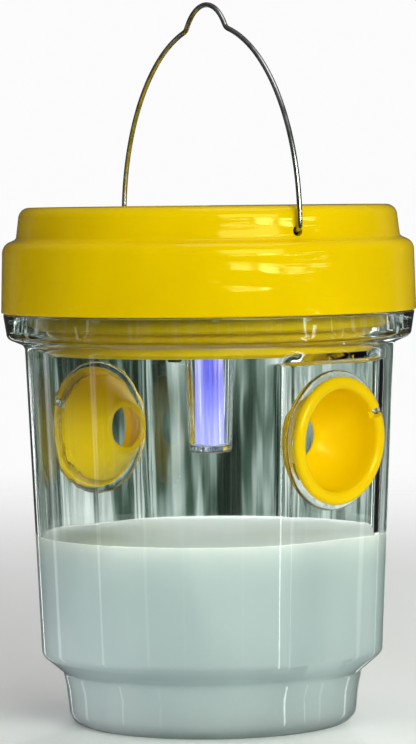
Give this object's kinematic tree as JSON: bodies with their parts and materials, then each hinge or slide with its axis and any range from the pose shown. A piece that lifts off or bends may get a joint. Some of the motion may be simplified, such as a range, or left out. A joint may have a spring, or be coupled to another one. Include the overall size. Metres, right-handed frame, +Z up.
{
  "type": "wasp trap",
  "caption": "Hanging wasp trap: clear jar of bait liquid with entry funnels in flat panels, violet lamp tube under a twist-off solar lid, and a swinging wire bail.",
  "frame": {"origin": "centre of the jar's flat base, where it stands", "axes": "+Z up; the entry funnels face -Y (front) and +Y (back)"},
  "size_m": [0.1306, 0.1306, 0.2265],
  "materials": {
    "yellow_plastic": "gloss",
    "clear_plastic": "gloss",
    "bait": "gloss",
    "silicone": "matte",
    "bail_steel": "polished",
    "screw_steel": "satin",
    "spring_steel": "satin",
    "solar_cover": "gloss",
    "solar_cell": "gloss",
    "foam_pad": "matte",
    "red_insulation": "satin",
    "black_insulation": "satin",
    "white_insulation": "satin",
    "led_resin": "gloss",
    "board_green": "satin",
    "white_plastic": "satin",
    "component_black": "satin",
    "switch_metal": "satin",
    "black_plastic": "satin",
    "battery_wrap": "gloss",
    "glowing_guide": "gloss"
  },
  "bodies": {
    "jar": {"jar": "clear_plastic", "front_funnel": "yellow_plastic", "back_funnel": "yellow_plastic", "bait_liquid": "bait"},
    "seal": {"seal_ring": "silicone"},
    "lid": {"lid_cover": "yellow_plastic", "inner_tray": "yellow_plastic", "tray_screws": "screw_steel", "solar_window": "solar_cover", "solar_cell": "solar_cell", "solar_pad": "foam_pad", "solar_lead_red": "red_insulation", "solar_lead_black": "black_insulation", "lens_tube": "clear_plastic", "lens_seal": "silicone", "light_guide": "glowing_guide", "uv_led": "led_resin", "led_board": "board_green", "led_holder": "white_plastic", "holder_screws": "screw_steel", "led_leads": "white_insulation", "circuit_board": "board_green", "board_parts": "component_black", "board_screws": "screw_steel", "switch_body": "switch_metal", "battery": "battery_wrap", "battery_spring": "spring_steel", "battery_contact": "spring_steel", "battery_lead_red": "red_insulation", "battery_lead_black": "black_insulation"},
    "bail": {"bail": "bail_steel"},
    "switch": {"switch_knob": "black_plastic"},
    "hatch": {"battery_door": "yellow_plastic", "door_screw": "screw_steel"}
  },
  "joints": [
    {"name": "lid_lift", "type": "slide", "parent": "jar", "child": "seal", "axis": [0, 0, 1], "range_m": [0, 0.06]},
    {"name": "lid_turn", "type": "hinge", "parent": "seal", "child": "lid", "pos_m": [0, 0, 0.142], "axis": [0, 0, 1], "range_deg": [0, 35]},
    {"name": "bail_swing", "type": "hinge", "parent": "lid", "child": "bail", "pos_m": [0, 0, 0.1554], "axis": [0.3156, 0.9489, 0], "range_deg": [-90, 90]},
    {"name": "switch_slide", "type": "slide", "parent": "lid", "child": "switch", "axis": [0, 1, 0], "range_m": [0, 0.002]},
    {"name": "door_drop", "type": "slide", "parent": "lid", "child": "hatch", "axis": [0, 0, -1], "range_m": [0, 0.015]}
  ]
}
